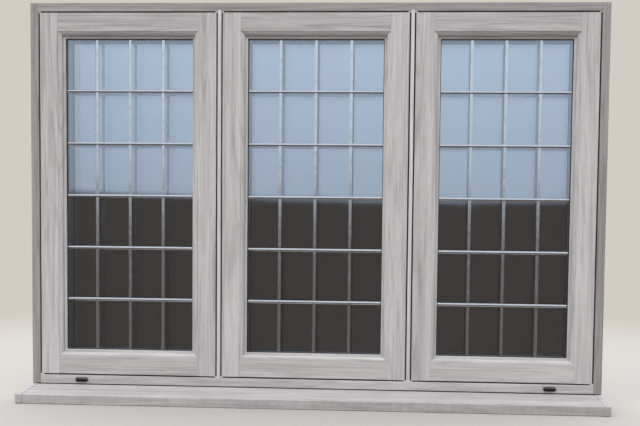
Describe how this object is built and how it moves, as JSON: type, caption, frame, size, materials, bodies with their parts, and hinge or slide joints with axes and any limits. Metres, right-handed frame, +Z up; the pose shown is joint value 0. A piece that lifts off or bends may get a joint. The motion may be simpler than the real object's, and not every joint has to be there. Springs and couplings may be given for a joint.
{
  "type": "flush casement window",
  "caption": "Flush casement window in grey woodgrain foil: equal sashes with moulded glazing edges, leaded sealed units, slim mullions, drain covers and a projecting sill.",
  "frame": {"origin": "centre of the window's width, on the underside of the sill, below the outside face of the frame", "axes": "+X along the window to the right seen from outside, +Y into the wall towards the room, +Z up"},
  "size_m": [1.805, 0.2172, 1.244],
  "materials": {
    "frame_foil": "woodgrain foil, light grey oak",
    "sash_foil": "woodgrain foil, light grey oak",
    "sill_foil": "woodgrain foil, light grey oak, weathered",
    "glass": "clear",
    "lead": "satin lead-grey strip",
    "gasket": "matt",
    "spacer": "satin",
    "drain_cover": "matt black",
    "handle": "satin"
  },
  "bodies": {
    "root": {"frame_head": "frame_foil", "frame_bottom_rail": "frame_foil", "frame_jamb_left": "frame_foil", "frame_jamb_right": "frame_foil", "mullion_left": "frame_foil", "mullion_right": "frame_foil", "sill_board": "sill_foil", "sill_end_caps": "sill_foil", "sash_left_stile_left": "sash_foil", "sash_left_stile_right": "sash_foil", "sash_left_top_rail": "sash_foil", "sash_left_bottom_rail": "sash_foil", "sash_middle_stile_left": "sash_foil", "sash_middle_stile_right": "sash_foil", "sash_middle_top_rail": "sash_foil", "sash_middle_bottom_rail": "sash_foil", "sash_right_stile_left": "sash_foil", "sash_right_stile_right": "sash_foil", "sash_right_top_rail": "sash_foil", "sash_right_bottom_rail": "sash_foil", "gasket_left": "gasket", "gasket_middle": "gasket", "gasket_right": "gasket", "outer_pane_left": "glass", "outer_pane_middle": "glass", "outer_pane_right": "glass", "spacer_left": "spacer", "spacer_middle": "spacer", "spacer_right": "spacer", "inner_pane_left": "glass", "inner_pane_middle": "glass", "inner_pane_right": "glass", "lead_outside_left": "lead", "lead_outside_middle": "lead", "lead_outside_right": "lead", "lead_inside_left": "lead", "lead_inside_middle": "lead", "lead_inside_right": "lead", "glazing_beads_left": "sash_foil", "glazing_beads_middle": "sash_foil", "glazing_beads_right": "sash_foil", "weather_seals": "gasket", "drain_covers": "drain_cover", "handle_left": "handle", "handle_right": "handle"}
  },
  "joints": []
}
